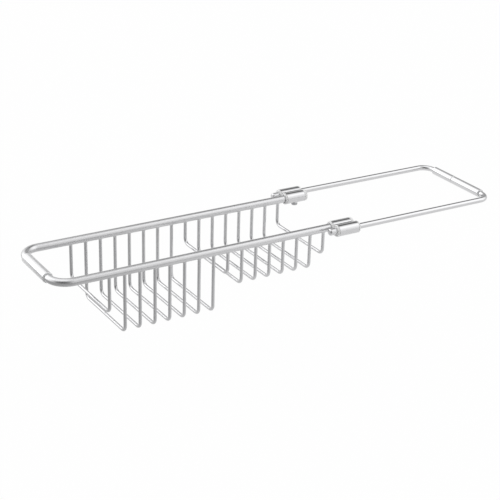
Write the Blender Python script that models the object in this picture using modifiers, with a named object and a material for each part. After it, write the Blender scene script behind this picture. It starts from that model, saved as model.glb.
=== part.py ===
"""Over-the-sink caddy with a deep and a shallow wire basket and a rod frame that slides out.

Metres, +Z up. X runs from the crosspiece on the left rim to the one on the right rim, and Y from
the front rail to the back rail. The origin is where the left sleeve rests on its rim.
The rod frame is modelled pulled right out, with its caps against the connectors.
"""
from math import asin, cos, pi, radians, sin

import bmesh
import bpy

MM = 0.001

# Clearance between two pieces that touch on the real object
SEAT_GAP = 0.3 * MM

# Frame tube, which makes both rails and the left crosspiece
RAIL_DIAMETER = 10 * MM
RAIL_WALL = 1 * MM
RAIL_SPACING = 110 * MM
RAIL_BEND_RADIUS = 22.5 * MM

# Left sleeve
LEFT_SLEEVE_WALL = 1.4 * MM
LEFT_SLEEVE_MARGIN = 1 * MM
SLEEVE_EDGE = 0.7 * MM

# Basket wires. Depths run from the rails' centreline to the wire's own centreline
WIRE_DIAMETER = 4.2 * MM
WIRE_PITCH = 20 * MM
WIRE_BEND_RADIUS = 8 * MM
FIRST_WIRE_PLACE = 67 * MM
DEEP_WIRES = 7
SHALLOW_WIRES = 6
LEFT_GUARD_DEPTH = 50 * MM
DEEP_DEPTH = 80 * MM
STEP_GUARD_DEPTH = 34 * MM
SHALLOW_DEPTH = 51 * MM
RIGHT_GUARD_DEPTH = 35 * MM

# Rod frame
ROD_DIAMETER = 7.4 * MM
ROD_WALL = 1 * MM
ROD_BEND_RADIUS = 16 * MM
ROD_REACH = 216.8 * MM
RIGHT_SLEEVE_WALL = 1.5 * MM
RIGHT_SLEEVE_MARGIN = 3 * MM
SLEEVE_SEAM_OFFSET = 8 * MM

# Rod caps
CAP_WALL = 0.55 * MM
CAP_LENGTH = 9.7 * MM
CAP_END_THICKNESS = 2.5 * MM
CAP_ROUND = 2.4 * MM

# Connectors
WIRE_TO_CONNECTOR = 9.2 * MM
CONNECTOR_LENGTH = 29 * MM
RAIL_BARREL_STEP = 2.2 * MM
BARREL_RIM = 1.5 * MM
BORE_SEPARATION = 1.6 * MM
WEB_DROP = 2.4 * MM
BUSH_WALL = 0.6 * MM
RAIL_BUSH_INSERT = 3 * MM
ROD_BUSH_SPACING = 8 * MM
PLUG_INSERT = 6 * MM
FLANGE_THICKNESS = 2.5 * MM
FLANGE_STEP = 0.1 * MM
FLANGE_ROUND = 1 * MM
PLUG_ROUND = 1.5 * MM

# Rail screws
SCREW_PLACE = 14.8 * MM
SCREW_DIAMETER = 4 * MM
SCREW_HEAD_DIAMETER = 8.4 * MM
SCREW_HEAD_HEIGHT = 2.5 * MM
SCREW_HEAD_ROUND = 0.9 * MM
SCREW_BOSS_DROP = 0.4 * MM
SOCKET_ACROSS = 3.4 * MM
SOCKET_DEPTH = 1.4 * MM

# Roundness of the meshes
RAIL_ROUNDNESS = 8
ROD_ROUNDNESS = 6
WIRE_ROUNDNESS = 4
BEND_STEPS = 8
WIRE_BEND_STEPS = 5
TURN_STEPS = 24
ROUND_STEPS = 3
SMOOTH_ANGLE = radians(35)
WELD_DISTANCE = 0.001 * MM
CUT_OVERRUN = 1 * MM

# Sizes that follow from the ones above
rail_radius = RAIL_DIAMETER / 2
rod_radius = ROD_DIAMETER / 2
wire_radius = WIRE_DIAMETER / 2
rail_y = RAIL_SPACING / 2
left_sleeve_radius = rail_radius + SEAT_GAP + LEFT_SLEEVE_WALL
right_sleeve_radius = rod_radius + SEAT_GAP + RIGHT_SLEEVE_WALL
rail_height = left_sleeve_radius
rail_bore = rail_radius + SEAT_GAP
rod_bore = rod_radius + SEAT_GAP
cap_radius = rod_bore + CAP_WALL
spigot_radius = max(rail_bore, rod_bore) + BUSH_WALL
seat_bore = spigot_radius + SEAT_GAP
barrel_radius = seat_bore + BARREL_RIM
flange_radius = barrel_radius - FLANGE_STEP
barrel_pitch = 2 * seat_bore + BORE_SEPARATION
boss_height = barrel_radius + SCREW_BOSS_DROP
rod_y = rail_y + barrel_pitch

wire_depths = (
    [LEFT_GUARD_DEPTH]
    + [DEEP_DEPTH] * DEEP_WIRES
    + [STEP_GUARD_DEPTH]
    + [SHALLOW_DEPTH] * SHALLOW_WIRES
    + [RIGHT_GUARD_DEPTH]
)
last_wire_place = FIRST_WIRE_PLACE + WIRE_PITCH * (len(wire_depths) - 1)
connector_start = last_wire_place + WIRE_TO_CONNECTOR
body_start = connector_start + FLANGE_THICKNESS
body_end = body_start + CONNECTOR_LENGTH
connector_end = body_end + FLANGE_THICKNESS
rail_barrel_end = body_end - RAIL_BARREL_STEP
rail_end = rail_barrel_end - PLUG_INSERT - SEAT_GAP
rail_flat_y = (rail_y + rod_y - SEAT_GAP) / 2
rod_flat_y = rail_flat_y + SEAT_GAP
screw_place = body_start + SCREW_PLACE
cap_mouth = connector_start - SEAT_GAP
cap_tip = cap_mouth - CAP_LENGTH
rod_end = cap_tip + CAP_END_THICKNESS + SEAT_GAP
right_crosspiece = connector_end + ROD_REACH

PARTS = "over_sink_caddy"
CUTTERS = "cutters"


def clear_scene():
    for item in list(bpy.data.objects):
        bpy.data.objects.remove(item, do_unlink=True)


def collection(name):
    """The collection of that name, made and linked to the scene when it is first asked for."""
    found = bpy.data.collections.get(name)
    if found is None:
        found = bpy.data.collections.new(name)
        bpy.context.scene.collection.children.link(found)
    return found


def principled(name, colour, roughness, metallic):
    material = bpy.data.materials.new(name)
    material.use_nodes = True
    shader = material.node_tree.nodes["Principled BSDF"]
    shader.inputs["Base Color"].default_value = (*colour, 1)
    shader.inputs["Roughness"].default_value = roughness
    shader.inputs["Metallic"].default_value = metallic
    return material


def satin_steel(name):
    return principled(name, (0.66, 0.66, 0.67), 0.32, 1)


def polished_steel(name):
    return principled(name, (0.82, 0.82, 0.83), 0.12, 1)


def clear_vinyl(name):
    return principled(name, (0.88, 0.89, 0.89), 0.15, 0)


def white_nylon(name):
    return principled(name, (0.84, 0.84, 0.83), 0.35, 0)


def add_part(name, mesh, material):
    """Links a finished mesh as one sub-part, with its own material."""
    mesh.name = name
    mesh.materials.clear()
    mesh.materials.append(material(name))
    mesh.shade_smooth()
    mesh.set_sharp_from_angle(angle=SMOOTH_ANGLE)
    part = bpy.data.objects.new(name, mesh)
    collection(PARTS).objects.link(part)
    return part


def as_mesh(source):
    """Takes a helper object's evaluated shape in world space, welds it, and removes the helper."""
    bpy.context.view_layer.update()
    evaluated = source.evaluated_get(bpy.context.evaluated_depsgraph_get())
    mesh = bpy.data.meshes.new_from_object(evaluated)
    mesh.transform(source.matrix_world)
    shape = bmesh.new()
    shape.from_mesh(mesh)
    bmesh.ops.remove_doubles(shape, verts=shape.verts, dist=WELD_DISTANCE)
    shape.to_mesh(mesh)
    shape.free()
    bpy.data.objects.remove(source, do_unlink=True)
    return mesh


def arc(centre, radius, start, end, steps):
    """Points of an arc, centre given as a pair, angles in radians."""
    turns = [start + (end - start) * step / steps for step in range(steps + 1)]
    return [(centre[0] + radius * cos(turn), centre[1] + radius * sin(turn)) for turn in turns]


def bent_tube(points, radius, roundness, capped):
    """A tube along a path, as a curve object with a bevel."""
    curve = bpy.data.curves.new("path", "CURVE")
    curve.dimensions = "3D"
    curve.bevel_depth = radius
    curve.bevel_resolution = roundness
    curve.use_fill_caps = capped
    spline = curve.splines.new("POLY")
    spline.points.add(len(points) - 1)
    for spot, place in zip(spline.points, points):
        spot.co = (*place, 1)
    path = bpy.data.objects.new("path", curve)
    bpy.context.scene.collection.objects.link(path)
    return path


def hollow_tube(name, points, radius, wall, roundness, material):
    """A bent tube with a bore, open at both ends."""
    part = add_part(name, as_mesh(bent_tube(points, radius, roundness, False)), material)
    shell = part.modifiers.new("wall", "SOLIDIFY")
    shell.thickness = wall
    shell.offset = -1
    shell.use_even_offset = True
    return part


def turned(name, profile, place, axis, material, closed=False):
    """A turned piece. The profile holds (radius, height) pairs, its outer side from top to bottom,
    and axis says which way its height points: X, Y or Z."""
    mesh = bpy.data.meshes.new("profile")
    edges = [(spot, spot + 1) for spot in range(len(profile) - 1)]
    if closed:
        edges.append((len(profile) - 1, 0))
    mesh.from_pydata([(radius, 0, height) for radius, height in profile], edges, [])
    blank = bpy.data.objects.new("profile", mesh)
    bpy.context.scene.collection.objects.link(blank)
    screw = blank.modifiers.new("turn", "SCREW")
    screw.axis = "Z"
    screw.angle = 2 * pi
    screw.steps = TURN_STEPS
    screw.render_steps = TURN_STEPS
    screw.use_merge_vertices = True
    screw.merge_threshold = WELD_DISTANCE
    turns = {"X": (0, pi / 2, 0), "Y": (-pi / 2, 0, 0), "Z": (0, 0, 0)}
    blank.rotation_euler = turns[axis]
    blank.location = place
    return add_part(name, as_mesh(blank), material)


def link_cutter(name, shape, place):
    """Turns a finished bmesh into a cutter with its middle at that place."""
    mesh = bpy.data.meshes.new(name)
    shape.to_mesh(mesh)
    shape.free()
    cutter = bpy.data.objects.new(name, mesh)
    cutter.location = place
    cutter.hide_render = True
    cutter.display_type = "WIRE"
    collection(CUTTERS).objects.link(cutter)
    return cutter


def add_cutter(name, radius, length, place, axis, corners=TURN_STEPS):
    """A cylinder or prism centred on its place, for a Boolean. Its axis is X or Z."""
    shape = bmesh.new()
    bmesh.ops.create_cone(
        shape, cap_ends=True, segments=corners, radius1=radius, radius2=radius, depth=length
    )
    cutter = link_cutter(name, shape, place)
    if axis == "X":
        cutter.rotation_euler = (0, pi / 2, 0)
    return cutter


def add_box_cutter(name, one_corner, far_corner):
    """A box between two corners, for a Boolean."""
    shape = bmesh.new()
    bmesh.ops.create_cube(shape, size=1)
    ends = list(zip(one_corner, far_corner))
    cutter = link_cutter(name, shape, [(one + far) / 2 for one, far in ends])
    cutter.scale = [abs(far - one) for one, far in ends]
    return cutter


def cut(part, cutter, operation="DIFFERENCE"):
    boolean = part.modifiers.new(cutter.name, "BOOLEAN")
    boolean.operation = operation
    boolean.object = cutter


def u_path(start_x, end_x, half_width, bend_radius, steps):
    """A U in the rails' plane, open at start_x, its crosspiece at end_x."""
    side = 1 if end_x > start_x else -1
    bend_x = end_x - side * bend_radius
    bend_y = half_width - bend_radius
    corner = arc((0, 0), bend_radius, 0, pi / 2, steps)
    back = [(bend_x + side * across, bend_y + along) for across, along in reversed(corner)]
    front = [(bend_x + side * across, -bend_y - along) for across, along in corner]
    flat = [(start_x, half_width)] + back + front + [(start_x, -half_width)]
    return [(x, y, rail_height) for x, y in flat]


def make_frame_tube():
    path = u_path(rail_end, 0, rail_y, RAIL_BEND_RADIUS, BEND_STEPS)
    hollow_tube("frame_tube", path, rail_radius, RAIL_WALL, RAIL_ROUNDNESS, satin_steel)


def make_sleeve(name, bore, radius, length, place):
    """A sleeve along Y with rounded outer edges, place being the middle of its front end."""
    top = arc((radius - SLEEVE_EDGE, length - SLEEVE_EDGE), SLEEVE_EDGE, pi / 2, 0, ROUND_STEPS)
    bottom = arc((radius - SLEEVE_EDGE, SLEEVE_EDGE), SLEEVE_EDGE, 0, -pi / 2, ROUND_STEPS)
    profile = top + bottom + [(bore, 0), (bore, length)]
    return turned(name, profile, place, "Y", clear_vinyl, closed=True)


def make_left_sleeve():
    straight = RAIL_SPACING - 2 * RAIL_BEND_RADIUS
    length = straight - 2 * LEFT_SLEEVE_MARGIN
    make_sleeve("left_sleeve", rail_bore, left_sleeve_radius, length, (0, -length / 2, rail_height))


def wire_path(x, depth):
    """Down from the front rail, across under the basket and up to the back rail."""
    bend_y = rail_y - WIRE_BEND_RADIUS
    bend_z = WIRE_BEND_RADIUS - depth
    corner = arc((-bend_y, bend_z), WIRE_BEND_RADIUS, pi, 3 * pi / 2, WIRE_BEND_STEPS)
    front = [(-rail_y, 0)] + corner
    back = [(-y, z) for y, z in reversed(front)]
    return [(x, y, rail_height + z) for y, z in front + back]


def wire_names():
    names = ["guard_wire_left"]
    names += [f"deep_wire_{number + 1}" for number in range(DEEP_WIRES)]
    names += ["guard_wire_step"]
    names += [f"shallow_wire_{number + 1}" for number in range(SHALLOW_WIRES)]
    names += ["guard_wire_right"]
    return names


def make_wires():
    """Each wire's ends are coped to the rails' undersides, where they are welded."""
    run = last_wire_place + 2 * WIRE_PITCH
    copes = [
        add_cutter("front_cope", rail_bore, run, (last_wire_place / 2, -rail_y, rail_height), "X"),
        add_cutter("back_cope", rail_bore, run, (last_wire_place / 2, rail_y, rail_height), "X"),
    ]
    for number, (name, depth) in enumerate(zip(wire_names(), wire_depths)):
        path = wire_path(FIRST_WIRE_PLACE + WIRE_PITCH * number, depth)
        wire = add_part(name, as_mesh(bent_tube(path, wire_radius, WIRE_ROUNDNESS, True)), satin_steel)
        for cope in copes:
            cut(wire, cope)


def connector_outline():
    """Both barrels and the web between them, looking along X. The rail barrel is at zero."""
    notch = asin((barrel_radius - WEB_DROP) / barrel_radius)
    rail_side = arc((0, 0), barrel_radius, notch, 2 * pi - notch, TURN_STEPS)
    rod_side = arc((barrel_pitch, 0), barrel_radius, pi + notch, 3 * pi - notch, TURN_STEPS)
    return rail_side + rod_side


def connector_blank(outward):
    """The uncut body: the outline as a filled curve, extruded along the rail."""
    curve = bpy.data.curves.new("outline", "CURVE")
    curve.dimensions = "2D"
    curve.fill_mode = "BOTH"
    curve.extrude = CONNECTOR_LENGTH / 2
    spline = curve.splines.new("POLY")
    outline = connector_outline()
    spline.points.add(len(outline) - 1)
    for spot, (across, up) in zip(spline.points, outline):
        spot.co = (outward * across, up, 0, 1)
    spline.use_cyclic_u = True
    blank = bpy.data.objects.new("outline", curve)
    blank.rotation_euler = (pi / 2, 0, pi / 2)
    blank.location = (body_start + CONNECTOR_LENGTH / 2, outward * rail_y, rail_height)
    bpy.context.scene.collection.objects.link(blank)
    return as_mesh(blank)


def half_cutter(name, outward, start, flat_y, away):
    """A box from that place along X to past the connector, and from a flat between the barrels
    over the whole rail barrel, where away is -1, or over the whole rod barrel, where it is 1."""
    reach = 2 * barrel_radius + CUT_OVERRUN
    near = (start, outward * flat_y, rail_height - reach)
    far = (connector_end + CUT_OVERRUN, outward * (flat_y + away * reach), rail_height + reach)
    return add_box_cutter(name, near, far)


def make_connector_body(side, outward):
    """Barrels bored for the rail and the rod bushes, with a screw boss under the rail barrel,
    which is the shorter one."""
    body = add_part(f"connector_body_{side}", connector_blank(outward), polished_steel)
    middle = body_start + CONNECTOR_LENGTH / 2
    rail_y_here = outward * rail_y
    rail_middle = (middle, rail_y_here, rail_height)
    rail_mouth = (body_start, rail_y_here, rail_height)
    rod_middle = (middle, outward * rod_y, rail_height)
    boss_middle = (screw_place, rail_y_here, rail_height - boss_height / 2)
    boss_end = (screw_place, rail_y_here, rail_height - boss_height)
    boss_radius = SCREW_HEAD_DIAMETER / 2
    screw_bore = SCREW_DIAMETER / 2 + SEAT_GAP
    screw_run = 2 * boss_height - rail_bore
    through = CONNECTOR_LENGTH + 2 * CUT_OVERRUN
    seat_run = 2 * (RAIL_BUSH_INSERT + SEAT_GAP)
    cut(body, add_cutter(f"screw_boss_{side}", boss_radius, boss_height, boss_middle, "Z"), "UNION")
    cut(body, add_cutter(f"rail_bore_{side}", rail_bore, through, rail_middle, "X"))
    cut(body, add_cutter(f"rail_seat_{side}", seat_bore, seat_run, rail_mouth, "X"))
    cut(body, add_cutter(f"rod_bore_{side}", seat_bore, through, rod_middle, "X"))
    cut(body, add_cutter(f"screw_bore_{side}", screw_bore, screw_run, boss_end, "Z"))
    cut(body, half_cutter(f"rail_barrel_end_{side}", outward, rail_barrel_end, rod_flat_y, -1))


def bush_profile(bore, insert):
    """A flanged bush, its flange at the bottom with a rounded outer edge."""
    edge = arc((flange_radius - FLANGE_ROUND, FLANGE_ROUND), FLANGE_ROUND, 0, -pi / 2, ROUND_STEPS)
    top = FLANGE_THICKNESS - SEAT_GAP
    end = top + insert
    outside = [(spigot_radius, end), (spigot_radius, top), (flange_radius, top)] + edge
    return outside + [(bore, 0), (bore, end)]


def mirrored(profile, length):
    """The same profile turned end for end, still running down its outer side."""
    return [(radius, length - height) for radius, height in reversed(profile)]


def make_bushes(side, outward):
    """One bush where the rail goes in, and one at each end of the rod barrel. Where the flanges
    of the two barrels meet, each is cut flat."""
    insert = (CONNECTOR_LENGTH - ROD_BUSH_SPACING) / 2
    length = FLANGE_THICKNESS - SEAT_GAP + insert
    rail = bush_profile(rail_bore, RAIL_BUSH_INSERT)
    rod_left = bush_profile(rod_bore, insert)
    rod_right = mirrored(rod_left, length)
    rail_place = (connector_start, outward * rail_y, rail_height)
    left_place = (connector_start, outward * rod_y, rail_height)
    right_place = (connector_end - length, outward * rod_y, rail_height)
    over_rod = half_cutter(f"rail_flat_{side}", outward, cap_tip, rail_flat_y, 1)
    over_rail = half_cutter(f"rod_flat_{side}", outward, cap_tip, rod_flat_y, -1)
    for name, profile, place, other_half in (
        ("rail_bush", rail, rail_place, over_rod),
        ("rod_bush_left", rod_left, left_place, over_rail),
        ("rod_bush_right", rod_right, right_place, over_rail),
    ):
        bush = turned(f"{name}_{side}", profile, place, "X", white_nylon, closed=True)
        cut(bush, other_half)


def make_plug(side, outward):
    """Closes the rail barrel. Its spigot goes into the bore, up to the end of the rail, and its
    head is cut flat beside the rod barrel."""
    spigot = rail_bore - SEAT_GAP
    length = PLUG_INSERT + connector_end - rail_barrel_end - SEAT_GAP
    dome = arc((flange_radius - PLUG_ROUND, length - PLUG_ROUND), PLUG_ROUND, pi / 2, 0, ROUND_STEPS)
    flange = [(0, length)] + dome + [(flange_radius, PLUG_INSERT)]
    profile = flange + [(spigot, PLUG_INSERT), (spigot, 0), (0, 0)]
    place = (connector_end - length, outward * rail_y, rail_height)
    plug = turned(f"barrel_plug_{side}", profile, place, "X", white_nylon)
    cut(plug, half_cutter(f"plug_flat_{side}", outward, cap_tip, rail_flat_y, 1))


def make_screw(side, outward):
    """Passes up through the boss and presses on the underside of the rail."""
    head = SCREW_HEAD_DIAMETER / 2
    shank = SCREW_DIAMETER / 2
    tip = SCREW_HEAD_HEIGHT + SEAT_GAP + boss_height - rail_bore
    upper = [(0, tip), (shank, tip), (shank, SCREW_HEAD_HEIGHT), (head, SCREW_HEAD_HEIGHT)]
    edge = arc((head - SCREW_HEAD_ROUND, SCREW_HEAD_ROUND), SCREW_HEAD_ROUND, 0, -pi / 2, ROUND_STEPS)
    profile = upper + edge + [(0, 0)]
    bottom = rail_height - boss_height - SEAT_GAP - SCREW_HEAD_HEIGHT
    place = (screw_place, outward * rail_y, bottom)
    screw = turned(f"rail_screw_{side}", profile, place, "Z", polished_steel)
    socket_radius = SOCKET_ACROSS / 2 / cos(pi / 6)
    cut(screw, add_cutter(f"screw_socket_{side}", socket_radius, 2 * SOCKET_DEPTH, place, "Z", 6))


def rod_carrier():
    """The empty that the rod frame slides on, midway between the two rod barrels."""
    carrier = bpy.data.objects.new("rod_slide", None)
    carrier.location = (connector_start, 0, rail_height)
    collection(PARTS).objects.link(carrier)
    return carrier


def make_rod_tube():
    path = u_path(rod_end, right_crosspiece, rod_y, ROD_BEND_RADIUS, BEND_STEPS)
    return hollow_tube("rod_tube", path, rod_radius, ROD_WALL, ROD_ROUNDNESS, polished_steel)


def make_cap(side, outward):
    """A cup with a round end, over the end of the rod. Wider than the bush, so it stops the rod."""
    mouth = CAP_LENGTH
    rounding = arc((cap_radius - CAP_ROUND, CAP_ROUND), CAP_ROUND, 0, -pi / 2, ROUND_STEPS)
    outside = [(cap_radius, mouth)] + rounding + [(0, 0)]
    inside = [(0, CAP_END_THICKNESS), (rod_bore, CAP_END_THICKNESS), (rod_bore, mouth)]
    place = (cap_tip, outward * rod_y, rail_height)
    return turned(f"rod_cap_{side}", inside + outside, place, "X", polished_steel)


def make_right_sleeves():
    """Two lengths of sleeve that meet a little behind the middle of the right crosspiece."""
    end_y = rod_y - ROD_BEND_RADIUS - RIGHT_SLEEVE_MARGIN
    front_length = end_y + SLEEVE_SEAM_OFFSET - SEAT_GAP / 2
    back_length = end_y - SLEEVE_SEAM_OFFSET - SEAT_GAP / 2
    front_place = (right_crosspiece, -end_y, rail_height)
    back_place = (right_crosspiece, end_y - back_length, rail_height)
    front = make_sleeve("right_sleeve_front", rod_bore, right_sleeve_radius, front_length, front_place)
    back = make_sleeve("right_sleeve_back", rod_bore, right_sleeve_radius, back_length, back_place)
    return [front, back]


def carry(carrier, pieces):
    """Parents the pieces to the carrier and leaves them where they are."""
    bpy.context.view_layer.update()
    for piece in pieces:
        piece.parent = carrier
        piece.matrix_parent_inverse = carrier.matrix_world.inverted()


def main():
    clear_scene()
    make_frame_tube()
    make_left_sleeve()
    make_wires()
    rod_frame = [make_rod_tube()] + make_right_sleeves()
    for side, outward in (("front", -1), ("back", 1)):
        make_connector_body(side, outward)
        make_bushes(side, outward)
        make_plug(side, outward)
        make_screw(side, outward)
        rod_frame.append(make_cap(side, outward))
    carry(rod_carrier(), rod_frame)


main()
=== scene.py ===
"""The looks of an over-the-sink caddy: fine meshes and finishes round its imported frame.

Metres, +Z up, in the frame's own axes. X runs from the left rim of the sink to the right one.
"""
from math import cos, pi, radians, sin

import bmesh
import bpy
from bpy.props import FloatProperty, FloatVectorProperty, IntProperty, PointerProperty
from bpy.types import Operator, Panel, PropertyGroup
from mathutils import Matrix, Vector


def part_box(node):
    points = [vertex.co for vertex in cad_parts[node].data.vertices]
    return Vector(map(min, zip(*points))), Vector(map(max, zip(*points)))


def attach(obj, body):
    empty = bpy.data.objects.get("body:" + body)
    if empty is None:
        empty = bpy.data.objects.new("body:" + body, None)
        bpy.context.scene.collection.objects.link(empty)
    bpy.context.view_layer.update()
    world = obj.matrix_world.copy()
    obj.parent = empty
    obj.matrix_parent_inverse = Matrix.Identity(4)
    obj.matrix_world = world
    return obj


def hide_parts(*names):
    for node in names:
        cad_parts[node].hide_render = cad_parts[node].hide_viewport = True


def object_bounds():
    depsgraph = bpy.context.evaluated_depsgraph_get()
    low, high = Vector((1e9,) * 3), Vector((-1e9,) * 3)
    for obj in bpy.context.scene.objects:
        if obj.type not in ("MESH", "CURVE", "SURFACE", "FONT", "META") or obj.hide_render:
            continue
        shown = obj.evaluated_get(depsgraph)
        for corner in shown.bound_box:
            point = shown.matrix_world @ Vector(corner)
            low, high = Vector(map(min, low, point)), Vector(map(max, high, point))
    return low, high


bl_info = {
    "name": "Over-the-sink caddy",
    "version": (1, 0, 0),
    "blender": (4, 5, 0),
    "location": "3D View > Sidebar > Caddy",
    "description": "Builds the looks of an over-the-sink caddy round its packed frame",
    "category": "Object",
}

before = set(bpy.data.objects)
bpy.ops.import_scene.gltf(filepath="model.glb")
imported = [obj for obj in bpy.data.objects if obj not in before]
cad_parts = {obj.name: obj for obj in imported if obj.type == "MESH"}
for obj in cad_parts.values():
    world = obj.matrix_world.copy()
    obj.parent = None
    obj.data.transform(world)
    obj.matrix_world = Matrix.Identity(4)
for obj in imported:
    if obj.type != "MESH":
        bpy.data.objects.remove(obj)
cad_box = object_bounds()

MM = 0.001

# Where the photograph was taken from
CAMERA_PLACE = (-0.54904, -1.37582, 0.67866)
CAMERA_TURN = (66.284, -1.517, -30.777)
CAMERA_LENS = 98.531
CAMERA_SENSOR = 36.0

# Softboxes and dark screens round the studio: azimuth from +Y towards +X, elevation, and the
# inner and outer edge of each, in degrees, then how much it adds to the plain level
STUDIO_SPOTS = (
    ("overhead softbox", -60, 74, 8, 42, 0.6),
    ("back left softbox", -45, 22, 10, 44, 0.75),
    ("back left softbox, low", -30, 6, 6, 30, 0.3),
    ("back softbox", -6, 28, 4, 28, 0.55),
    ("front right softbox", 114, 30, 8, 38, 0.6),
    ("front right softbox, low", 140, 8, 4, 30, 0.25),
    ("front right softbox, high", 122, 54, 4, 26, 0.3),
    ("screen at the back right", 46, 24, 14, 34, -0.32),
    ("slot at the right, high", 52, 47, 7, 15, -0.6),
    ("screen on the camera's side", -140, 16, 14, 50, -0.65),
)

# Which way the sheet of light lies from the caddy, as an azimuth in degrees
SHEET_AZIMUTH = 60

# An edge is sharp where its faces turn by more than this
SHARP_ANGLE = radians(38)
# Steps in the rounding of an edge, and in that of a plug's or cap's end. The latter stops short
# of the flat face by an angle in radians.
EDGE_STEPS = 6
END_STEPS = 10
END_STOP = 0.05


class CaddySizes(PropertyGroup):
    rail_bend: FloatProperty(
        name="Rail bend",
        description="Radius of the frame tube's bends, at its centreline",
        default=22.5 * MM,
        unit="LENGTH",
    )
    rod_bend: FloatProperty(
        name="Rod bend",
        description="Radius of the rod's bends, at its centreline",
        default=16 * MM,
        unit="LENGTH",
    )
    wire_bend: FloatProperty(
        name="Wire bend",
        description="Radius of the basket wires' bends, at their centreline",
        default=8 * MM,
        unit="LENGTH",
    )
    weld_height: FloatProperty(
        name="Weld height",
        description="How far the weld's fillet comes down a wire from its rail",
        default=1.3 * MM,
        unit="LENGTH",
    )
    weld_spread: FloatProperty(
        name="Weld spread",
        description="How far the weld stands out from its wire",
        default=0.55 * MM,
        unit="LENGTH",
    )
    weld_overlap: FloatProperty(
        name="Weld overlap",
        description="How far a wire's end goes up into its rail",
        default=0.9 * MM,
        unit="LENGTH",
    )
    sleeve_cling: FloatProperty(
        name="Sleeve cling",
        description="How far a sleeve's bore is drawn into the tube, so that no air lies between",
        default=0.05 * MM,
        unit="LENGTH",
    )
    seat_gap: FloatProperty(
        name="Seat gap",
        description="Clearance between a bush or cap and what it is on",
        default=0.3 * MM,
        unit="LENGTH",
    )
    sleeve_edge: FloatProperty(
        name="Sleeve edge",
        description="Rounding of a sleeve's outer edges",
        default=0.7 * MM,
        unit="LENGTH",
    )
    web_drop: FloatProperty(
        name="Web drop",
        description="How far the web of a connector lies below the top of its barrels",
        default=2.4 * MM,
        unit="LENGTH",
    )
    rail_barrel_step: FloatProperty(
        name="Rail barrel step",
        description="How much shorter a connector's rail barrel is than its rod barrel",
        default=2.2 * MM,
        unit="LENGTH",
    )
    connector_edge: FloatProperty(
        name="Connector edge",
        description="Rounding of a connector's outer edges",
        default=0.35 * MM,
        unit="LENGTH",
    )
    flange: FloatProperty(
        name="Flange",
        description="Thickness of a bush's flange",
        default=2.2 * MM,
        unit="LENGTH",
    )
    flange_round: FloatProperty(
        name="Flange rounding",
        description="Rounding of a bush's flange",
        default=1 * MM,
        unit="LENGTH",
    )
    plug_round: FloatProperty(
        name="Plug rounding",
        description="Rounding of a barrel plug's head",
        default=1.5 * MM,
        unit="LENGTH",
    )
    cap_round: FloatProperty(
        name="Cap rounding",
        description="Rounding of a rod cap's closed end",
        default=2.4 * MM,
        unit="LENGTH",
    )
    cap_edge: FloatProperty(
        name="Cap edge",
        description="Broken edge of a rod cap's open end",
        default=0.2 * MM,
        unit="LENGTH",
    )
    screw_round: FloatProperty(
        name="Screw rounding",
        description="Rounding of a screw's head",
        default=0.9 * MM,
        unit="LENGTH",
    )
    screw_head: FloatProperty(
        name="Screw head",
        description="Height of a screw's head",
        default=2.5 * MM,
        unit="LENGTH",
    )
    socket_across: FloatProperty(
        name="Socket",
        description="Width across the flats of a screw's socket",
        default=3.4 * MM,
        unit="LENGTH",
    )
    socket_depth: FloatProperty(
        name="Socket depth",
        description="Depth of a screw's socket",
        default=1.4 * MM,
        unit="LENGTH",
    )
    sides: IntProperty(
        name="Sides",
        description="Number of faces round each tube, wire and turned piece",
        default=64,
        min=8,
    )
    bend_steps: IntProperty(
        name="Bend steps",
        description="Number of steps in a quarter turn of a tube or wire",
        default=24,
        min=4,
    )


def colour(title, words, default):
    return FloatVectorProperty(
        name=title, description=words, default=default, subtype="COLOR", min=0, max=1
    )


class CaddyFinish(PropertyGroup):
    satin: colour("Satin steel", "Colour of the frame tube", (0.73, 0.73, 0.74))
    wire: colour("Bright wire", "Colour of the basket wires", (0.70, 0.70, 0.71))
    polished: colour("Polished metal", "Colour of the rod and connectors", (0.74, 0.74, 0.75))
    screw: colour("Screw steel", "Colour of the rail screws", (0.50, 0.50, 0.51))
    vinyl: colour("Left sleeve", "Colour of the steel seen in the left sleeve", (0.80, 0.80, 0.81))
    vinyl_polished: colour(
        "Right sleeve", "Colour of the rod seen in the right sleeve", (0.74, 0.74, 0.75)
    )
    vinyl_end: colour("Vinyl ends", "Colour of the sleeves' cut ends", (0.86, 0.87, 0.87))
    nylon: colour("White nylon", "Colour of the bushes", (0.86, 0.86, 0.86))
    satin_roughness: FloatProperty(
        name="Satin roughness",
        description="Roughness of the frame tube",
        default=0.25,
        subtype="FACTOR",
        min=0,
        max=1,
    )
    wire_roughness: FloatProperty(
        name="Wire roughness",
        description="Roughness of the basket wires",
        default=0.13,
        subtype="FACTOR",
        min=0,
        max=1,
    )
    polished_roughness: FloatProperty(
        name="Polished roughness",
        description="Roughness of the rod and connectors",
        default=0.05,
        subtype="FACTOR",
        min=0,
        max=1,
    )


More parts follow.
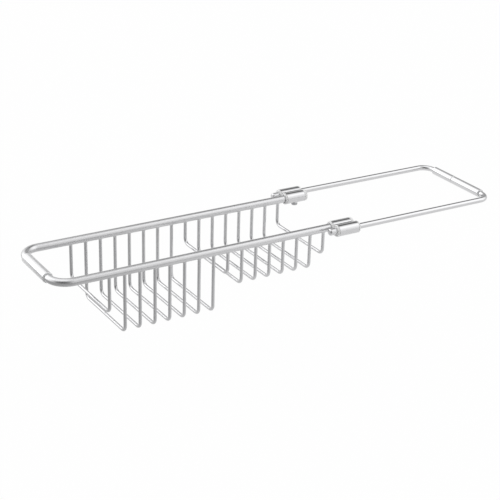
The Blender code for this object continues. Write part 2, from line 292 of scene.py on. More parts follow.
class CaddyStage(PropertyGroup):
    floor: colour("Floor", "Colour of the floor", (0.86, 0.86, 0.86))
    floor_drop: FloatProperty(
        name="Floor drop",
        description="Height of the lowest wire above the floor",
        default=90 * MM,
        unit="LENGTH",
    )
    floor_radius: FloatProperty(
        name="Floor radius",
        description="Radius of the floor",
        default=9.0,
        unit="LENGTH",
    )
    seen_white: FloatProperty(
        name="White to the camera",
        description="How far the floor is drawn to white where the camera sees it",
        default=0.97,
        subtype="FACTOR",
        min=0,
        max=1,
    )
    mirrored_white: FloatProperty(
        name="White in reflections",
        description="How far metal and vinyl show the floor as the sheet of light behind the caddy",
        default=0.5,
        subtype="FACTOR",
        min=0,
        max=1,
    )
    mirrored_world: FloatProperty(
        name="White world in reflections",
        description="How far metal and vinyl show the world as white",
        default=0.1,
        subtype="FACTOR",
        min=0,
        max=1,
    )
    white_through: FloatProperty(
        name="White through clear pieces",
        description="How far floor and world are drawn to white behind a see-through piece",
        default=0.3,
        subtype="FACTOR",
        min=0,
        max=1,
    )
    sheet_light: FloatProperty(
        name="Sheet light",
        description="Brightness of the sheet of light",
        default=0.85,
        min=0,
    )
    sheet_fade: FloatProperty(
        name="Sheet fade",
        description="Distance over which the sheet of light fades, from the caddy's middle on",
        default=0.5,
        unit="LENGTH",
    )
    plain_level: FloatProperty(
        name="Plain level",
        description="Brightness all round, between the softboxes",
        default=0.7,
        min=0,
    )
    darkest_level: FloatProperty(
        name="Darkest level",
        description="Least brightness that the screens leave of the plain level",
        default=0.02,
        min=0,
    )


# Meshes


def arc(centre, radius, start, end, steps):
    """Points of an arc, centre given as a pair, angles in radians."""
    turns = [start + (end - start) * step / steps for step in range(steps + 1)]
    return [(centre[0] + radius * cos(turn), centre[1] + radius * sin(turn)) for turn in turns]


def skin(name, rings, closed=False):
    """A mesh through rings of points. Its UV map holds turns round the piece and metres along it.
    A closed one joins its last ring to its first, and an open one is capped."""
    shape = bmesh.new()
    coordinates = shape.loops.layers.uv.new("UVMap")
    rows = [[shape.verts.new(point) for point in ring] for ring in rings]
    along = [0.0]
    for near, far in zip(rings, rings[1:] + rings[:1]):
        along.append(along[-1] + (Vector(far[0]) - Vector(near[0])).length)
    sides = len(rings[0])
    spans = len(rows) if closed else len(rows) - 1
    for span in range(spans):
        near = rows[span]
        far = rows[(span + 1) % len(rows)]
        for side in range(sides):
            after = (side + 1) % sides
            face = shape.faces.new((near[side], near[after], far[after], far[side]))
            turns = (side, side + 1, side + 1, side)
            lengths = (along[span], along[span], along[span + 1], along[span + 1])
            for loop, turn, length in zip(face.loops, turns, lengths):
                loop[coordinates].uv = (turn / sides, length)
    if not closed:
        for cap in (rows[0][::-1], rows[-1]):
            shape.faces.new(cap)
    bmesh.ops.recalc_face_normals(shape, faces=shape.faces)
    mesh = bpy.data.meshes.new(name)
    shape.to_mesh(mesh)
    shape.free()
    return mesh


def sweep(name, path, normal, radii, sides):
    """A round tube along a flat path. The normal is the path's plane's, and radii has one value
    for each point of the path."""
    path = [Vector(point) for point in path]
    normal = Vector(normal)
    rings = []
    for number, (point, radius) in enumerate(zip(path, radii)):
        before = path[max(number - 1, 0)]
        after = path[min(number + 1, len(path) - 1)]
        across = (after - before).normalized().cross(normal)
        turns = [2 * pi * side / sides for side in range(sides)]
        rings.append([point + radius * (cos(t) * across + sin(t) * normal) for t in turns])
    return skin(name, rings)


def lathe(name, profile, place, axis, sides, closed=False):
    """A turned piece. The profile holds (distance along, radius) pairs, from the place on."""
    axis = Vector(axis)
    first = axis.orthogonal().normalized()
    second = axis.cross(first)
    turns = [2 * pi * side / sides for side in range(sides)]
    rings = []
    for distance, radius in profile:
        middle = Vector(place) + distance * axis
        rings.append([middle + radius * (cos(t) * first + sin(t) * second) for t in turns])
    return skin(name, rings, closed)


def add_piece(name, mesh, material, body, slot, *nodes):
    """Links a mesh as a piece that rides on a body and stands for CAD nodes."""
    mesh.materials.append(material)
    mesh.shade_smooth()
    mesh.set_sharp_from_angle(angle=SHARP_ANGLE)
    piece = bpy.data.objects.new(name, mesh)
    bpy.context.scene.collection.objects.link(piece)
    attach(piece, body)
    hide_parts(*nodes)
    return piece


def add_cutter(name, mesh):
    """A shape for a Boolean, which isn't shown."""
    cutter = bpy.data.objects.new(name, mesh)
    bpy.context.scene.collection.objects.link(cutter)
    return cutter


def cut(piece, cutter, operation="DIFFERENCE"):
    """Cuts or joins a piece with a cutter, and removes the cutter."""
    boolean = piece.modifiers.new("cut", "BOOLEAN")
    boolean.operation = operation
    boolean.object = cutter
    bpy.context.view_layer.update()
    evaluated = piece.evaluated_get(bpy.context.evaluated_depsgraph_get())
    mesh = bpy.data.meshes.new_from_object(evaluated)
    piece.modifiers.remove(boolean)
    piece.data = mesh
    bpy.data.objects.remove(cutter, do_unlink=True)


def box_mesh(name, one, far):
    """A box between two corners."""
    corners = ((one.y, one.z), (far.y, one.z), (far.y, far.z), (one.y, far.z))
    return skin(name, [[(x, y, z) for y, z in corners] for x in (one.x, far.x)])


def size_of(node):
    """The CAD box of a node: its size along X, Y and Z."""
    low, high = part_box(node)
    return high - low


def middle_of(node):
    """The middle of a node's CAD box."""
    low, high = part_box(node)
    return (low + high) / 2


def leg_line(node, outward):
    """A point on the axis of a leg of the frame tube or the rod, level with the origin."""
    spread = size_of(node).y - size_of(node).z
    return Vector((0, outward * spread / 2, middle_of(node).z))


# Materials


def link(tree, source, target):
    tree.links.new(source, target)


def calculate(tree, operation, *values):
    """A sum, product or the like of numbers and of other nodes' outputs."""
    node = tree.nodes.new("ShaderNodeMath")
    node.operation = operation
    for socket, value in zip(node.inputs, values):
        if isinstance(value, bpy.types.NodeSocket):
            link(tree, value, socket)
        else:
            socket.default_value = value
    return node.outputs[0]


def remap(tree, source, low, high):
    """A value between low and high from a mask between 0 and 1."""
    node = tree.nodes.new("ShaderNodeMapRange")
    node.inputs["To Min"].default_value = low
    node.inputs["To Max"].default_value = high
    link(tree, source, node.inputs["Value"])
    return node.outputs["Result"]


def ease(tree, source, start, end, level=1):
    """Rises smoothly from nothing at the start to a level at the end."""
    node = tree.nodes.new("ShaderNodeMapRange")
    node.interpolation_type = "SMOOTHSTEP"
    node.inputs["From Min"].default_value = start
    node.inputs["From Max"].default_value = end
    node.inputs["To Max"].default_value = level
    link(tree, source, node.inputs["Value"])
    return node.outputs["Result"]


def add_noise(tree, vector, detail, roughness):
    node = tree.nodes.new("ShaderNodeTexNoise")
    node.inputs["Detail"].default_value = detail
    node.inputs["Roughness"].default_value = roughness
    link(tree, vector, node.inputs["Vector"])
    return node


def add_bump(tree, height, depth, shader):
    node = tree.nodes.new("ShaderNodeBump")
    node.inputs["Distance"].default_value = depth
    link(tree, height, node.inputs["Height"])
    link(tree, node.outputs["Normal"], shader.inputs["Normal"])


def new_group(name, inputs, outputs):
    """An empty node group with a vector and some values going in, and values coming out."""
    group = bpy.data.node_groups.new(name, "ShaderNodeTree")
    sockets = group.interface
    sockets.new_socket("Vector", in_out="INPUT", socket_type="NodeSocketVector")
    for title, value in inputs:
        socket = sockets.new_socket(title, in_out="INPUT", socket_type="NodeSocketFloat")
        socket.default_value = value
    for title in outputs:
        sockets.new_socket(title, in_out="OUTPUT", socket_type="NodeSocketFloat")
    return group, group.nodes.new("NodeGroupInput"), group.nodes.new("NodeGroupOutput")


def make_grain_group():
    """Fine lines round a tube, from its UV map, as brushing leaves them, and broad streaks."""
    group, start, end = new_group(
        "Brushed grain",
        inputs=(("Lines per metre", 2500), ("Lines round", 3)),
        outputs=("Lines", "Streaks"),
    )
    parts = group.nodes.new("ShaderNodeSeparateXYZ")
    link(group, start.outputs["Vector"], parts.inputs[0])
    turn = calculate(group, "MULTIPLY", parts.outputs["X"], 2 * pi)
    place = group.nodes.new("ShaderNodeCombineXYZ")
    for socket, operation in (("X", "COSINE"), ("Y", "SINE")):
        wave = calculate(group, operation, turn)
        spread = calculate(group, "MULTIPLY", wave, start.outputs["Lines round"])
        link(group, spread, place.inputs[socket])
    along = calculate(group, "MULTIPLY", parts.outputs["Y"], start.outputs["Lines per metre"])
    link(group, along, place.inputs["Z"])
    for output, scale, detail in (("Lines", 1.0, 3.0), ("Streaks", 0.04, 2.0)):
        noise = add_noise(group, place.outputs[0], detail, roughness=0.6)
        noise.inputs["Scale"].default_value = scale
        link(group, noise.outputs["Fac"], end.inputs[output])
    return group


def make_marks_group():
    """Faint smears and specks, as handling and drying leave on bright metal and plastic."""
    group, start, end = new_group(
        "Handling marks",
        inputs=(("Smears per metre", 30), ("Specks per metre", 900)),
        outputs=("Smears", "Specks"),
    )
    for output, low, high in (("Smears", 0.42, 0.68), ("Specks", 0.62, 0.78)):
        noise = add_noise(group, start.outputs["Vector"], detail=4, roughness=0.55)
        link(group, start.outputs[output + " per metre"], noise.inputs["Scale"])
        link(group, ease(group, noise.outputs["Fac"], low, high), end.inputs[output])
    return group


def shared_group(make, name):
    """The group of that name, made when it is first asked for."""
    found = bpy.data.node_groups.get(name)
    return found if found else make()


def add_group(tree, make, name, vector, **values):
    """Places a shared group in a material, with the material's own values."""
    node = tree.nodes.new("ShaderNodeGroup")
    node.node_tree = shared_group(make, name)
    link(tree, vector, node.inputs["Vector"])
    for socket, value in values.items():
        node.inputs[socket.replace("_", " ").capitalize()].default_value = value
    return node


def tint(tree, base, factor, share):
    """The base colour, darker by up to a share where the factor is high."""
    node = tree.nodes.new("ShaderNodeMix")
    node.data_type = "RGBA"
    node.inputs["A"].default_value = (*base, 1)
    node.inputs["B"].default_value = (*(channel * (1 - share) for channel in base), 1)
    link(tree, factor, node.inputs["Factor"])
    return node.outputs["Result"]


def new_material(name):
    """A new material with its shader, and the coordinates that its grain and marks follow."""
    material = bpy.data.materials.new(name)
    material.use_nodes = True
    tree = material.node_tree
    shader = tree.nodes["Principled BSDF"]
    places = tree.nodes.new("ShaderNodeTexCoord")
    return material, tree, shader, places


def metal(name, base, roughness, grain, depth, lines_per_metre):
    """A steel or chromed finish. The grain is how much the brushing spreads the roughness, and
    the depth is how deep its lines are."""
    found = bpy.data.materials.get(name)
    if found:
        return found
    material, tree, shader, places = new_material(name)
    lines = add_group(
        tree,
        make_grain_group,
        "Brushed grain",
        places.outputs["UV"],
        lines_per_metre=lines_per_metre,
    )
    marks = add_group(tree, make_marks_group, "Handling marks", places.outputs["Object"])
    level = remap(tree, lines.outputs["Lines"], roughness - grain, roughness + grain)
    smear = remap(tree, marks.outputs["Smears"], low=0, high=0.03)
    link(tree, calculate(tree, "ADD", level, smear), shader.inputs["Roughness"])
    streaks = tint(tree, base, lines.outputs["Streaks"], share=0.08)
    link(tree, streaks, shader.inputs["Base Color"])
    add_bump(tree, lines.outputs["Lines"], depth, shader)
    shader.inputs["Metallic"].default_value = 1
    return material


def satin_steel():
    finish = bpy.context.scene.caddy_finish
    return metal(
        "Satin steel",
        finish.satin,
        finish.satin_roughness,
        grain=0.05,
        depth=0.004 * MM,
        lines_per_metre=2500,
    )


def bright_wire():
    finish = bpy.context.scene.caddy_finish
    return metal(
        "Bright wire",
        finish.wire,
        finish.wire_roughness,
        grain=0.03,
        depth=0.002 * MM,
        lines_per_metre=3500,
    )


def polished_metal():
    finish = bpy.context.scene.caddy_finish
    return metal(
        "Polished metal",
        finish.polished,
        finish.polished_roughness,
        grain=0.02,
        depth=0.0006 * MM,
        lines_per_metre=5000,
    )


def cap_steel():
    """The caps: the rod's metal, with the frame's finish."""
    finish = bpy.context.scene.caddy_finish
    return metal(
        "Cap steel",
        finish.polished,
        finish.satin_roughness,
        grain=0.03,
        depth=0.002 * MM,
        lines_per_metre=2500,
    )


def screw_steel():
    """The screws: darker than the rest, with the wires' finish."""
    finish = bpy.context.scene.caddy_finish
    return metal(
        "Screw steel",
        finish.screw,
        finish.wire_roughness,
        grain=0.03,
        depth=0.002 * MM,
        lines_per_metre=3500,
    )


def plastic(name, base, smooth, rough, speckle, depth=0, **spacing):
    """A plastic's finish: smears take its roughness from smooth to rough, and specks are darker
    by the speckle and stand out by the depth."""
    found = bpy.data.materials.get(name)
    if found:
        return found
    material, tree, shader, places = new_material(name)
    place = places.outputs["Object"]
    marks = add_group(tree, make_marks_group, "Handling marks", place, **spacing)
    link(tree, remap(tree, marks.outputs["Smears"], smooth, rough), shader.inputs["Roughness"])
    link(tree, tint(tree, base, marks.outputs["Specks"], speckle), shader.inputs["Base Color"])
    if depth:
        add_bump(tree, marks.outputs["Specks"], depth, shader)
    return material


def clear_vinyl(name, base, metallic):
    """Clear vinyl on a tube. The wall magnifies the metal inside until it fills the sleeve, so
    the sleeve is that metal under a glossy coat, and milkier where it is less metallic."""
    material = plastic(name, base, smooth=0.06, rough=0.11, speckle=0.05, smears_per_metre=40)
    shader = material.node_tree.nodes["Principled BSDF"]
    shader.inputs["Metallic"].default_value = metallic
    shader.inputs["Coat Weight"].default_value = 0.1
    shader.inputs["Coat Roughness"].default_value = 0.04
    return material


def vinyl_on_satin():
    finish = bpy.context.scene.caddy_finish
    return clear_vinyl("Clear vinyl on satin steel", finish.vinyl, metallic=0.6)


def vinyl_on_polished():
    finish = bpy.context.scene.caddy_finish
    return clear_vinyl("Clear vinyl on polished metal", finish.vinyl_polished, metallic=1)


def vinyl_end():
    """The cut end of a sleeve, where the clear vinyl gathers light and looks milky."""
    base = bpy.context.scene.caddy_finish.vinyl_end
    return plastic(
        "Vinyl end", base, smooth=0.2, rough=0.35, speckle=0.06, smears_per_metre=40
    )


def white_nylon():
    return plastic(
        "White nylon",
        bpy.context.scene.caddy_finish.nylon,
        smooth=0.3,
        rough=0.42,
        speckle=0.05,
        depth=0.01 * MM,
        specks_per_metre=600,
    )


# Pieces


def u_path(open_x, end_x, half_width, bend, height, steps):
    """A U in the rails' plane, open at open_x, its crosspiece at end_x."""
    side = 1 if end_x > open_x else -1
    bend_x = end_x - side * bend
    bend_y = half_width - bend
    corner = arc((0, 0), bend, 0, pi / 2, steps)
    back = [(bend_x + side * x, bend_y + y, height) for x, y in reversed(corner)]
    front = [(bend_x + side * x, -bend_y - y, height) for x, y in corner]
    return [(open_x, half_width, height)] + back + front + [(open_x, -half_width, height)]


def build_u_tube(name, node, body, bend, open_x, end_x, material, slot):
    """The frame tube or the rod: one round tube bent into a U."""
    sizes = bpy.context.scene.caddy_sizes
    radius = size_of(node).z / 2
    half_width = size_of(node).y / 2 - radius
    height = middle_of(node).z
    path = u_path(open_x, end_x, half_width, bend, height, sizes.bend_steps)
    mesh = sweep(name, path, (0, 0, 1), [radius] * len(path), sizes.sides)
    add_piece(name, mesh, material, body, slot, node)


def build_sleeve(name, node, body, tube_radius, material):
    """A clear sleeve along Y, with rounded outer edges. It clings to the tube inside it."""
    sizes = bpy.context.scene.caddy_sizes
    bore = tube_radius - sizes.sleeve_cling
    low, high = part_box(node)
    length = high.y - low.y
    radius = (high.z - low.z) / 2
    edge = sizes.sleeve_edge
    bottom = arc((edge, radius - edge), edge, pi, pi / 2, EDGE_STEPS)
    top = arc((length - edge, radius - edge), edge, pi / 2, 0, EDGE_STEPS)
    profile = [(0, bore)] + bottom + top + [(length, bore)]
    place = (middle_of(node).x, low.y, middle_of(node).z)
    mesh = lathe(name, profile, place, (0, 1, 0), sizes.sides, closed=True)
    add_piece(name, mesh, material, body, "clear_vinyl", node)
    mesh.materials.append(vinyl_end())
    end_faces_from = 0.95
    for face in mesh.polygons:
        if abs(face.normal.y) > end_faces_from:
            face.material_index = 1


class CADDY_OT_frame_tube(Operator):
    """Builds the frame tube with its two rails, and the sleeve on its crosspiece"""

    bl_idname = "caddy.frame_tube"
    bl_label = "Frame tube"

    def execute(self, context):
        sizes = context.scene.caddy_sizes
        low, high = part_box("frame_tube")
        radius = size_of("frame_tube").z / 2
        build_u_tube(
            "frame_rails",
            "frame_tube",
            "basket_frame",
            sizes.rail_bend,
            high.x,
            low.x + radius,
            satin_steel(),
            "satin_steel",
        )
        build_sleeve("left_rim_sleeve", "left_sleeve", "basket_frame", radius, vinyl_on_satin())
        return {"FINISHED"}


class CADDY_OT_wires(Operator):
    """Builds the wires of both baskets, each with its welds"""

    bl_idname = "caddy.wires"
    bl_label = "Basket wires"

    def execute(self, context):
        nodes = [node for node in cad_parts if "_wire_" in node]
        for node in nodes:
            self.build_wire(node)
        return {"FINISHED"}

    def build_wire(self, node):
        sizes = bpy.context.scene.caddy_sizes
        low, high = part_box(node)
        radius = (high.x - low.x) / 2
        rail = middle_of("frame_tube")
        rail_radius = size_of("frame_tube").z / 2
        half_width = size_of("frame_tube").y / 2 - rail_radius
        bend = sizes.wire_bend
        bottom = low.z + radius
        top = rail.z - rail_radius + sizes.weld_overlap
        corner = arc((bend - half_width, bottom + bend), bend, pi, 3 * pi / 2, sizes.bend_steps)
        weld_steps = 8
        weld_run = sizes.weld_overlap + sizes.weld_height
        drops = [weld_run * step / weld_steps for step in range(weld_steps + 1)]
        front = [(-half_width, top - drop) for drop in drops] + corner
        flat = front + [(-y, z) for y, z in reversed(front)]
        path = [(middle_of(node).x, y, z) for y, z in flat]
        fillet = [self.weld_at(drop - sizes.weld_overlap) for drop in drops]
        plain = [0.0] * len(corner)
        swell = fillet + plain + plain + fillet[::-1]
        radii = [radius + extra for extra in swell]
        mesh = sweep(node + "_bent", path, (1, 0, 0), radii, sizes.sides // 2)
        add_piece(node + "_bent", mesh, bright_wire(), "basket_frame", "satin_steel", node)

    def weld_at(self, drop):
        """How far the weld stands out, at that distance below the rail."""
        sizes = bpy.context.scene.caddy_sizes
        share = 1 - max(drop, 0) / sizes.weld_height
        return sizes.weld_spread * share * share


class CADDY_OT_connectors(Operator):
    """Builds both connectors: body, bushes, plug and screw"""

    bl_idname = "caddy.connectors"
    bl_label = "Connectors"

    def execute(self, context):
        for side, outward in (("front", -1), ("back", 1)):
            rail = leg_line("frame_tube", outward)
            rod = leg_line("rod_tube", outward)
            self.build_body(side, outward, rail, rod)
            self.build_bush(f"rail_bush_{side}", "frame_tube", rail, outward)
            self.build_bush(f"rod_bush_left_{side}", "rod_tube", rod, -outward)
            self.build_bush(f"rod_bush_right_{side}", "rod_tube", rod, -outward, turned=True)
            self.build_plug(side, outward, rail)
            self.build_screw(side)
        return {"FINISHED"}

    def cut_half(self, piece, start, flat, towards):
        """Cuts away all that lies past a flat, on the side of Y that towards gives, from that
        place along X on."""
        reach = size_of("connector_body_front").x
        one = Vector((start, flat, -reach))
        far = Vector((start + 3 * reach, flat + towards * reach, reach))
        cut(piece, add_cutter("half", box_mesh("half", one, far)))
        piece.data.set_sharp_from_angle(angle=SHARP_ANGLE)

    def flat_of(self, node, towards):
        """Where a flange is flat, beside its neighbour."""
        low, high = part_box(node)
        return high.y if towards > 0 else low.y

    def build_body(self, side, outward, rail, rod):
        """Both barrels and the web, with their bores, and the screw's boss. The rail's barrel is
        the shorter one."""
        sizes = bpy.context.scene.caddy_sizes
        node = f"connector_body_{side}"
        name = f"connector_{side}"
        low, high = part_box(node)
        radius = high.z - rail.z
        web = radius - sizes.web_drop
        pitch = abs(rod.y - rail.y)
        # Where the web meets a barrel, as an angle round it from the line to the other barrel
        notch = Vector((1, 0)).angle(Vector(((radius * radius - web * web) ** 0.5, web)))
        rail_side = arc((0, 0), radius, notch, 2 * pi - notch, sizes.sides)
        rod_side = arc((pitch, 0), radius, pi + notch, 3 * pi - notch, sizes.sides)
        outline = [(outward * y, z) for y, z in rail_side + rod_side]
        rings = [[(x, rail.y + y, rail.z + z) for y, z in outline] for x in (low.x, high.x)]
        piece = add_piece(
            name, skin(name, rings), polished_metal(), "basket_frame", "polished_metal", node
        )
        screw = middle_of(f"rail_screw_{side}")
        boss_radius = size_of(f"rail_screw_{side}").x / 2
        boss = lathe(
            "boss",
            [(0, boss_radius), (rail.z - low.z, boss_radius)],
            (screw.x, rail.y, low.z),
            (0, 0, 1),
            sizes.sides,
        )
        cut(piece, add_cutter("boss", boss), "UNION")
        bores = (
            (rail, size_of("frame_tube").z / 2 + sizes.seat_gap),
            (rod, size_of("rod_tube").z / 2 + 2 * sizes.seat_gap),
        )
        run = high.x - low.x
        for centre, bore in bores:
            profile = [(-run, bore), (2 * run, bore)]
            place = (low.x, centre.y, centre.z)
            cutter = lathe("bore", profile, place, (1, 0, 0), sizes.sides)
            cut(piece, add_cutter("bore", cutter))
        flat = self.flat_of(f"rod_bush_right_{side}", -outward)
        self.cut_half(piece, high.x - sizes.rail_barrel_step, flat, -outward)
        piece.data.shade_smooth()
        piece.data.set_sharp_from_angle(angle=SHARP_ANGLE)
        rounding = piece.modifiers.new("edges", "BEVEL")
        rounding.width = sizes.connector_edge
        rounding.segments = 3
        rounding.limit_method = "ANGLE"
        rounding.angle_limit = SHARP_ANGLE
        rounding.use_clamp_overlap = True

    def build_bush(self, node, tube, line, towards, turned=False):
        """A white bush: its flange shows at the end of a barrel, and is cut flat on the side of Y
        that towards gives, where its neighbour is."""
        sizes = bpy.context.scene.caddy_sizes
        low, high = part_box(node)
        outer = (high.z - low.z) / 2
        bore = size_of(tube).z / 2 + sizes.seat_gap
        edge = sizes.flange_round
        spigot = (outer + bore) / 2
        length = high.x - low.x
        rim = arc((edge, outer - edge), edge, pi, pi / 2, EDGE_STEPS)
        profile = [(0, bore)] + rim + [(sizes.flange, outer), (sizes.flange, spigot)]
        profile += [(length, spigot), (length, bore)]
        name = node + "_ring"
        place = (high.x if turned else low.x, line.y, line.z)
        axis = (-1, 0, 0) if turned else (1, 0, 0)
        mesh = lathe(name, profile, place, axis, sizes.sides, closed=True)
        piece = add_piece(name, mesh, white_nylon(), "basket_frame", "white_nylon", node)
        self.cut_half(piece, low.x - length, self.flat_of(node, towards), towards)

    def build_plug(self, side, outward, rail):
        """The white plug that closes the rail's barrel, its head flat beside the rod's barrel."""
        sizes = bpy.context.scene.caddy_sizes
        node = f"barrel_plug_{side}"
        low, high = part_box(node)
        outer = (high.z - low.z) / 2
        spigot = size_of("frame_tube").z / 2
        length = high.x - low.x
        head = length - sizes.flange - sizes.rail_barrel_step
        edge = sizes.plug_round
        dome = arc((length - edge, outer - edge), edge, pi / 2, END_STOP, END_STEPS)
        profile = [(0, spigot), (head, spigot), (head, outer)] + dome
        name = node + "_head"
        mesh = lathe(name, profile, (low.x, rail.y, rail.z), (1, 0, 0), sizes.sides)
        piece = add_piece(name, mesh, white_nylon(), "basket_frame", "white_nylon", node)
        self.cut_half(piece, low.x - length, self.flat_of(node, outward), outward)

    def build_screw(self, side):
        """The screw under the rail's barrel, with its hexagon socket."""
        sizes = bpy.context.scene.caddy_sizes
        node = f"rail_screw_{side}"
        name = node + "_socketed"
        low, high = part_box(node)
        head = (high.x - low.x) / 2
        shank = head / 2
        edge = sizes.screw_round
        rim = arc((edge, head - edge), edge, pi, pi / 2, EDGE_STEPS)
        profile = rim + [(sizes.screw_head, head), (sizes.screw_head, shank)]
        profile += [(high.z - low.z, shank)]
        place = (middle_of(node).x, middle_of(node).y, low.z)
        mesh = lathe(name, profile, place, (0, 0, 1), sizes.sides)
        piece = add_piece(name, mesh, screw_steel(), "basket_frame", "polished_metal", node)
        flats = 6
        corner = sizes.socket_across / 2 / cos(pi / flats)
        depth = sizes.socket_depth
        socket = lathe("socket", [(-depth, corner), (depth, corner)], place, (0, 0, 1), flats)
        cut(piece, add_cutter("socket", socket))
        piece.data.set_sharp_from_angle(angle=SHARP_ANGLE)


class CADDY_OT_rod_frame(Operator):
    """Builds the rod that slides out, its caps and its sleeves"""

    bl_idname = "caddy.rod_frame"
    bl_label = "Rod frame"

    def execute(self, context):
        sizes = context.scene.caddy_sizes
        low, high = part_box("rod_tube")
        radius = size_of("rod_tube").z / 2
        build_u_tube(
            "sliding_rod",
            "rod_tube",
            "rod_frame",
            sizes.rod_bend,
            low.x,
            high.x - radius,
            polished_metal(),
            "polished_metal",
        )
        for side in ("front", "back"):
            build_sleeve(
                f"right_rim_sleeve_{side}",
                f"right_sleeve_{side}",
                "rod_frame",
                radius,
                vinyl_on_polished(),
            )
            self.build_cap(side)
        return {"FINISHED"}

    def build_cap(self, side):
        """A round-ended cap on a rod's end."""
        sizes = bpy.context.scene.caddy_sizes
        node = f"rod_cap_{side}"
        name = node + "_domed"
        low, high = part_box(node)
        outer = (high.z - low.z) / 2
        length = high.x - low.x
        bend = sizes.cap_round
        dome = arc((bend, outer - bend), bend, pi - END_STOP, pi / 2, END_STEPS)
        edge = sizes.cap_edge
        profile = dome + [(length - edge, outer), (length, outer - edge)]
        place = (low.x, middle_of(node).y, middle_of(node).z)
        mesh = lathe(name, profile, place, (1, 0, 0), sizes.sides)
        add_piece(name, mesh, cap_steel(), "rod_frame", "polished_metal", node)


# Stage


def direction(azimuth, elevation):
    """A direction from an azimuth, from +Y towards +X, and an elevation, both in degrees."""
    turn = radians(azimuth)
    rise = radians(elevation)
    return (sin(turn) * cos(rise), cos(turn) * cos(rise), sin(rise))


def reach_along(tree, place, axis):
    """How far a place lies along an axis."""
    node = tree.nodes.new("ShaderNodeVectorMath")
    node.operation = "DOT_PRODUCT"
    node.inputs[1].default_value = axis
    link(tree, place, node.inputs[0])
    return node.outputs["Value"]


def mix_shaders(tree, share, first, second):
    node = tree.nodes.new("ShaderNodeMixShader")
    link(tree, share, node.inputs[0])
    link(tree, first, node.inputs[1])
    link(tree, second, node.inputs[2])
    return node.outputs[0]


def seen_share(tree, to_camera, in_mirrors, through_clear):
    """How far a surface or the world is drawn to white, by the kind of ray that sees it."""
    ray = tree.nodes.new("ShaderNodeLightPath")
    total = 0
    for output, share in (
        ("Is Camera Ray", to_camera),
        ("Is Glossy Ray", in_mirrors),
        ("Is Transmission Ray", through_clear),
    ):
        part = remap(tree, ray.outputs[output], 0, share)
        total = calculate(tree, "ADD", total, part)
    return total


def sheet_level(tree, stage):
    """How bright the sheet of light on the floor is: full on the right and behind the caddy, and
    gone in front of its left end."""
    low, high = cad_box
    towards = Vector(direction(SHEET_AZIMUTH, 0))
    middle = towards.dot((low + high) / 2)
    places = tree.nodes.new("ShaderNodeNewGeometry")
    reach = reach_along(tree, places.outputs["Position"], towards)
    return ease(tree, reach, middle - stage.sheet_fade, middle, stage.sheet_light)


def floor_material(stage):
    """A pale matt floor that keeps the shadow, white to the camera, clear from below. Metal and
    vinyl also show a sheet of light on it."""
    material = bpy.data.materials.new("Floor")
    material.use_nodes = True
    tree = material.node_tree
    tree.nodes.clear()
    paint = tree.nodes.new("ShaderNodeBsdfDiffuse")
    paint.inputs["Color"].default_value = (*stage.floor, 1)
    sheet = tree.nodes.new("ShaderNodeEmission")
    link(tree, sheet_level(tree, stage), sheet.inputs["Strength"])
    in_mirrors = seen_share(tree, 0, stage.mirrored_white, 0)
    mirrored = mix_shaders(tree, in_mirrors, paint.outputs[0], sheet.outputs[0])
    white = tree.nodes.new("ShaderNodeEmission")
    seen = seen_share(tree, stage.seen_white, 0, stage.white_through)
    lit = mix_shaders(tree, seen, mirrored, white.outputs[0])
    below = tree.nodes.new("ShaderNodeNewGeometry")
    clear = tree.nodes.new("ShaderNodeBsdfTransparent")
    shown = mix_shaders(tree, below.outputs["Backfacing"], lit, clear.outputs[0])
    end = tree.nodes.new("ShaderNodeOutputMaterial")
    link(tree, shown, end.inputs["Surface"])
    return material


def make_world(stage):
    """Soft light from all round, with the softboxes and screens. The camera sees plain white."""
    world = bpy.data.worlds.new("Studio")
    world.use_nodes = True
    tree = world.node_tree
    tree.nodes.clear()
    places = tree.nodes.new("ShaderNodeTexCoord")
    total = stage.plain_level
    for _, azimuth, elevation, inner, outer, amount in STUDIO_SPOTS:
        towards = reach_along(tree, places.outputs["Generated"], direction(azimuth, elevation))
        spot = ease(tree, towards, cos(radians(outer)), cos(radians(inner)), amount)
        total = calculate(tree, "ADD", total, spot)
    studio = tree.nodes.new("ShaderNodeBackground")
    studio.inputs["Color"].default_value = (1, 1, 1, 1)
    level = calculate(tree, "MAXIMUM", total, stage.darkest_level)
    link(tree, level, studio.inputs["Strength"])
    white = tree.nodes.new("ShaderNodeBackground")
    white.inputs["Color"].default_value = (1, 1, 1, 1)
    seen = seen_share(tree, 1, stage.mirrored_world, stage.white_through)
    shown = mix_shaders(tree, seen, studio.outputs[0], white.outputs[0])
    end = tree.nodes.new("ShaderNodeOutputWorld")
    link(tree, shown, end.inputs["Surface"])
    return world


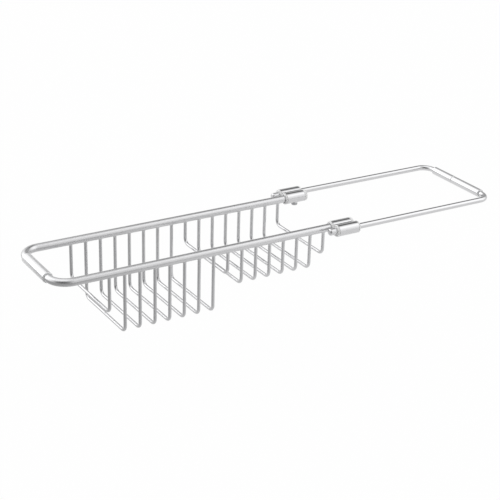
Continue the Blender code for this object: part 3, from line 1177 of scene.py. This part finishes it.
class CADDY_OT_stage(Operator):
    """Builds the floor, the studio's light and the camera"""

    bl_idname = "caddy.stage"
    bl_label = "Stage"

    def execute(self, context):
        stage = context.scene.caddy_stage
        low, high = cad_box
        shape = bmesh.new()
        bmesh.ops.create_circle(shape, cap_ends=True, segments=64, radius=stage.floor_radius)
        mesh = bpy.data.meshes.new("floor")
        shape.to_mesh(mesh)
        shape.free()
        mesh.materials.append(floor_material(stage))
        floor = bpy.data.objects.new("floor", mesh)
        floor.location = ((low.x + high.x) / 2, 0, low.z - stage.floor_drop)
        context.scene.collection.objects.link(floor)
        context.scene.world = make_world(stage)
        lens = bpy.data.cameras.new("camera")
        lens.lens = CAMERA_LENS
        lens.sensor_width = CAMERA_SENSOR
        camera = bpy.data.objects.new("camera", lens)
        camera.location = CAMERA_PLACE
        camera.rotation_euler = [radians(turn) for turn in CAMERA_TURN]
        context.scene.collection.objects.link(camera)
        context.scene.camera = camera
        context.scene.view_settings.view_transform = "Standard"
        return {"FINISHED"}


class CADDY_PT_parts(Panel):
    """Lists what the caddy is built from"""

    bl_label = "Over-the-sink caddy"
    bl_idname = "CADDY_PT_parts"
    bl_space_type = "VIEW_3D"
    bl_region_type = "UI"
    bl_category = "Caddy"

    def draw(self, context):
        for operator in OPERATORS:
            self.layout.operator(operator.bl_idname)
        for group in ("caddy_sizes", "caddy_finish", "caddy_stage"):
            settings = getattr(context.scene, group)
            box = self.layout.box()
            for name in settings.__annotations__:
                box.prop(settings, name)


OPERATORS = (
    CADDY_OT_stage,
    CADDY_OT_frame_tube,
    CADDY_OT_wires,
    CADDY_OT_connectors,
    CADDY_OT_rod_frame,
)
CLASSES = (CaddySizes, CaddyFinish, CaddyStage, *OPERATORS, CADDY_PT_parts)


def register():
    for item in CLASSES:
        bpy.utils.register_class(item)
    bpy.types.Scene.caddy_sizes = PointerProperty(type=CaddySizes)
    bpy.types.Scene.caddy_finish = PointerProperty(type=CaddyFinish)
    bpy.types.Scene.caddy_stage = PointerProperty(type=CaddyStage)


def unregister():
    del bpy.types.Scene.caddy_stage
    del bpy.types.Scene.caddy_finish
    del bpy.types.Scene.caddy_sizes
    for item in reversed(CLASSES):
        bpy.utils.unregister_class(item)


def main():
    register()
    bpy.ops.caddy.stage()
    bpy.ops.caddy.frame_tube()
    bpy.ops.caddy.wires()
    bpy.ops.caddy.connectors()
    bpy.ops.caddy.rod_frame()


if __name__ == "__main__":
    main()
